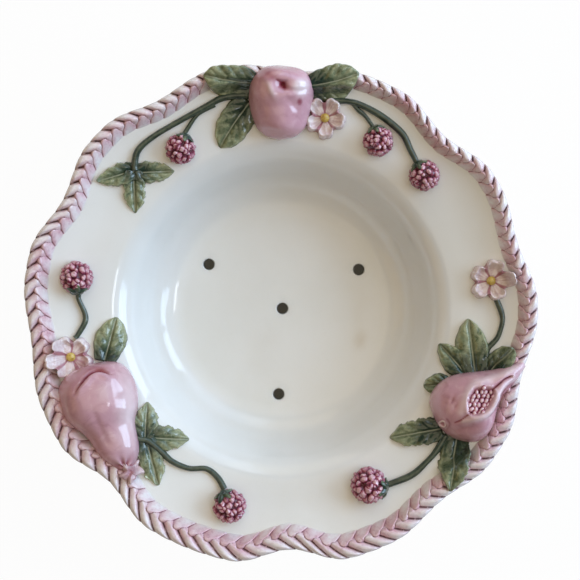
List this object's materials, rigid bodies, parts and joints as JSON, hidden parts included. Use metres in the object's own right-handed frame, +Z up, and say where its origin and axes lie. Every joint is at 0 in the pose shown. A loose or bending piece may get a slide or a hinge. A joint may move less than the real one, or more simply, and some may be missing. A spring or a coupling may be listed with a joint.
{
  "type": "colander bowl",
  "caption": "Footed glazed bowl with a scalloped flange, a plaited rim, drain holes in its floor and moulded fruit, leaves and berries in relief on the flange.",
  "frame": {"origin": "on the axis of the bowl, in the plane that the foot ring stands on", "axes": "+Z up along the bowl's axis, +Y towards the apple on the flange, +X to the right as seen from above with the apple at the top"},
  "size_m": [0.2559, 0.2493, 0.0733],
  "materials": {
    "white_glaze": "glossy white glaze with a faint warm and cool cast",
    "plait_glaze": "glossy pink glaze, pale on the crowns and mauve in the grooves",
    "fruit_glaze": "glossy dusty rose glaze, darker in the creases",
    "seed_glaze": "glossy dark raspberry glaze",
    "pale_pink_glaze": "glossy pale pink glaze",
    "leaf_glaze": "glossy green glaze, dark at the base and olive at the tip",
    "stem_glaze": "glossy dark blue-green glaze",
    "berry_glaze": "glossy raspberry glaze, pale on the drupelets' tips",
    "petal_glaze": "glossy pale pink glaze with darker strokes",
    "yellow_glaze": "glossy yellow glaze"
  },
  "bodies": {
    "root": {"bowl_body": "white_glaze", "plait_strand_1": "plait_glaze", "plait_strand_2": "plait_glaze", "plait_strand_3": "plait_glaze", "apple": "fruit_glaze", "pear": "fruit_glaze", "pear_calyx": "pale_pink_glaze", "pomegranate": "fruit_glaze", "pomegranate_seeds": "seed_glaze", "pomegranate_crown": "pale_pink_glaze", "apple_leaf_1": "leaf_glaze", "apple_leaf_2": "leaf_glaze", "apple_leaf_3": "leaf_glaze", "sprig_leaf_1": "leaf_glaze", "sprig_leaf_2": "leaf_glaze", "sprig_leaf_3": "leaf_glaze", "pear_leaf_1": "leaf_glaze", "pear_leaf_2": "leaf_glaze", "pear_leaf_3": "leaf_glaze", "pear_leaf_4": "leaf_glaze", "pomegranate_leaf_1": "leaf_glaze", "pomegranate_leaf_2": "leaf_glaze", "pomegranate_leaf_3": "leaf_glaze", "pomegranate_leaf_4": "leaf_glaze", "pomegranate_leaf_5": "leaf_glaze", "pomegranate_leaf_6": "leaf_glaze", "stem_1": "stem_glaze", "stem_2": "stem_glaze", "stem_3": "stem_glaze", "stem_4": "stem_glaze", "stem_5": "stem_glaze", "stem_6": "stem_glaze", "stem_7": "stem_glaze", "stem_8": "stem_glaze", "berry_1": "berry_glaze", "berry_2": "berry_glaze", "berry_3": "berry_glaze", "berry_4": "berry_glaze", "berry_5": "berry_glaze", "berry_6": "berry_glaze", "berry_cap_1": "leaf_glaze", "berry_cap_2": "leaf_glaze", "berry_cap_3": "leaf_glaze", "berry_cap_4": "leaf_glaze", "berry_cap_5": "leaf_glaze", "berry_cap_6": "leaf_glaze", "flower_1": "petal_glaze", "flower_2": "petal_glaze", "flower_3": "petal_glaze", "flower_centre_1": "yellow_glaze", "flower_centre_2": "yellow_glaze", "flower_centre_3": "yellow_glaze"}
  },
  "joints": []
}
